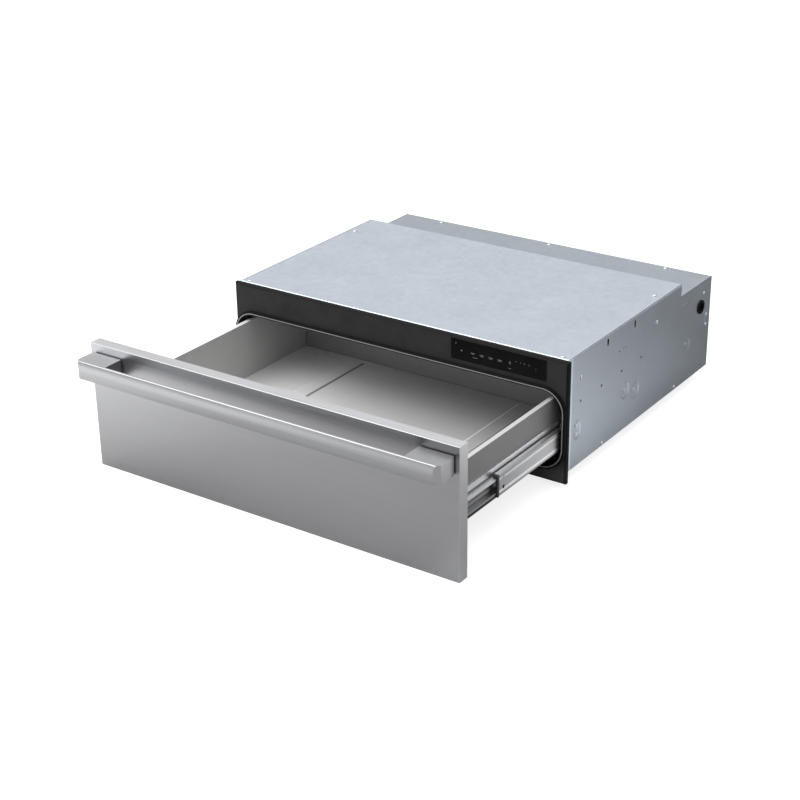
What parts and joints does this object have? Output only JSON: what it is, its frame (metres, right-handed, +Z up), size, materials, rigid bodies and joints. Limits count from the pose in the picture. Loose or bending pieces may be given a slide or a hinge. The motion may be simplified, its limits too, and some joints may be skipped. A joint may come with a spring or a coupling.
{
  "type": "built in warming drawer",
  "caption": "Built-in warming drawer: galvanised case with a black front frame and touch glass, and a heated steel pan on ball slides behind a stainless front with a wide bar handle.",
  "frame": {"origin": "middle of the underside of the steel case", "axes": "+Z up, the drawer's front faces -Y, +X is to the right of someone who looks at the front from behind the frame, so the touch glass is at +X"},
  "size_m": [0.756, 0.9892, 0.2362],
  "materials": {
    "zinc_sheet": "galvanised sheet, dull with a faint spangle",
    "frame_black": "black enamel, satin",
    "seal_black": "soft black seal",
    "touch_glass": "black glass, polished",
    "dark_plastic": "moulded, fine grain",
    "circuit_board": "green board with solder mask",
    "cavity_steel": "aluminised sheet, dull",
    "insulation": "mineral wool blanket",
    "element_steel": "heat-tinted sheath",
    "sensor_steel": "drawn tube",
    "pale_plastic": "moulded, plain",
    "loom_sleeve": "braided glass sleeve",
    "slide_steel": "zinc-plated, lightly oiled",
    "ball_steel": "polished",
    "fastener_zinc": "zinc-plated",
    "front_stainless": "stainless, brushed along its length",
    "inner_plate_steel": "zinc-coated sheet",
    "pan_steel": "stainless, fine satin",
    "rail_steel": "zinc-coated sheet"
  },
  "bodies": {
    "case": {"top_cover": "zinc_sheet", "side_panel_left": "zinc_sheet", "side_panel_right": "zinc_sheet", "base_plate": "zinc_sheet", "rear_panel": "zinc_sheet", "front_frame": "frame_black", "mouth_gasket": "seal_black", "control_glass": "touch_glass", "control_carrier": "dark_plastic", "control_board": "circuit_board", "cavity_ceiling": "cavity_steel", "cavity_rear_wall": "cavity_steel", "cavity_floor": "cavity_steel", "base_insulation": "insulation", "top_insulation": "insulation", "rear_insulation": "insulation", "heating_element": "element_steel", "element_clips": "element_steel", "temperature_sensor": "sensor_steel", "thermal_cutout": "dark_plastic", "power_board": "circuit_board", "board_pillars": "pale_plastic", "terminal_block": "pale_plastic", "wire_loom": "loom_sleeve", "cable_grommet": "seal_black", "service_plate": "zinc_sheet", "slide_outer_left": "slide_steel", "slide_outer_right": "slide_steel", "slide_rivets": "fastener_zinc", "top_screws": "fastener_zinc", "side_screws": "fastener_zinc", "rear_screws": "fastener_zinc", "rear_bumpers": "seal_black"},
    "drawer": {"front_skin": "front_stainless", "front_core": "insulation", "front_inner_plate": "inner_plate_steel", "handle_bar": "front_stainless", "handle_pads": "dark_plastic", "handle_bolts": "fastener_zinc", "drawer_pan": "pan_steel", "pan_screws": "fastener_zinc", "side_rail_left": "rail_steel", "side_rail_right": "rail_steel", "slide_inner_left": "slide_steel", "slide_inner_right": "slide_steel", "rail_screws": "fastener_zinc"},
    "slide_middle_left": {"slide_middle_left": "slide_steel", "slide_end_cap_left": "dark_plastic"},
    "outer_cage_left": {"outer_cage_left": "slide_steel", "outer_balls_left": "ball_steel"},
    "inner_cage_left": {"inner_cage_left": "slide_steel", "inner_balls_left": "ball_steel"},
    "slide_middle_right": {"slide_middle_right": "slide_steel", "slide_end_cap_right": "dark_plastic"},
    "outer_cage_right": {"outer_cage_right": "slide_steel", "outer_balls_right": "ball_steel"},
    "inner_cage_right": {"inner_cage_right": "slide_steel", "inner_balls_right": "ball_steel"}
  },
  "joints": [
    {"name": "drawer_slide", "type": "slide", "parent": "case", "child": "drawer", "axis": [0, -1, 0], "range_m": [-0.3354, 0.1346]},
    {"name": "slide_middle_left_slide", "type": "slide", "parent": "case", "child": "slide_middle_left", "axis": [0, -1, 0], "range_m": [-0.1981, 0.0796]},
    {"name": "outer_cage_left_slide", "type": "slide", "parent": "case", "child": "outer_cage_left", "axis": [0, -1, 0], "range_m": [-0.0991, 0.0399]},
    {"name": "inner_cage_left_slide", "type": "slide", "parent": "case", "child": "inner_cage_left", "axis": [0, -1, 0], "range_m": [-0.2668, 0.1072]},
    {"name": "slide_middle_right_slide", "type": "slide", "parent": "case", "child": "slide_middle_right", "axis": [0, -1, 0], "range_m": [-0.1981, 0.0796]},
    {"name": "outer_cage_right_slide", "type": "slide", "parent": "case", "child": "outer_cage_right", "axis": [0, -1, 0], "range_m": [-0.0991, 0.0399]},
    {"name": "inner_cage_right_slide", "type": "slide", "parent": "case", "child": "inner_cage_right", "axis": [0, -1, 0], "range_m": [-0.2668, 0.1072]}
  ],
  "couplings": [
    {"joint": "slide_middle_left_slide", "follows": "drawer_slide", "ratio": 0.59},
    {"joint": "outer_cage_left_slide", "follows": "drawer_slide", "ratio": 0.295},
    {"joint": "inner_cage_left_slide", "follows": "drawer_slide", "ratio": 0.795},
    {"joint": "slide_middle_right_slide", "follows": "drawer_slide", "ratio": 0.59},
    {"joint": "outer_cage_right_slide", "follows": "drawer_slide", "ratio": 0.295},
    {"joint": "inner_cage_right_slide", "follows": "drawer_slide", "ratio": 0.795}
  ]
}
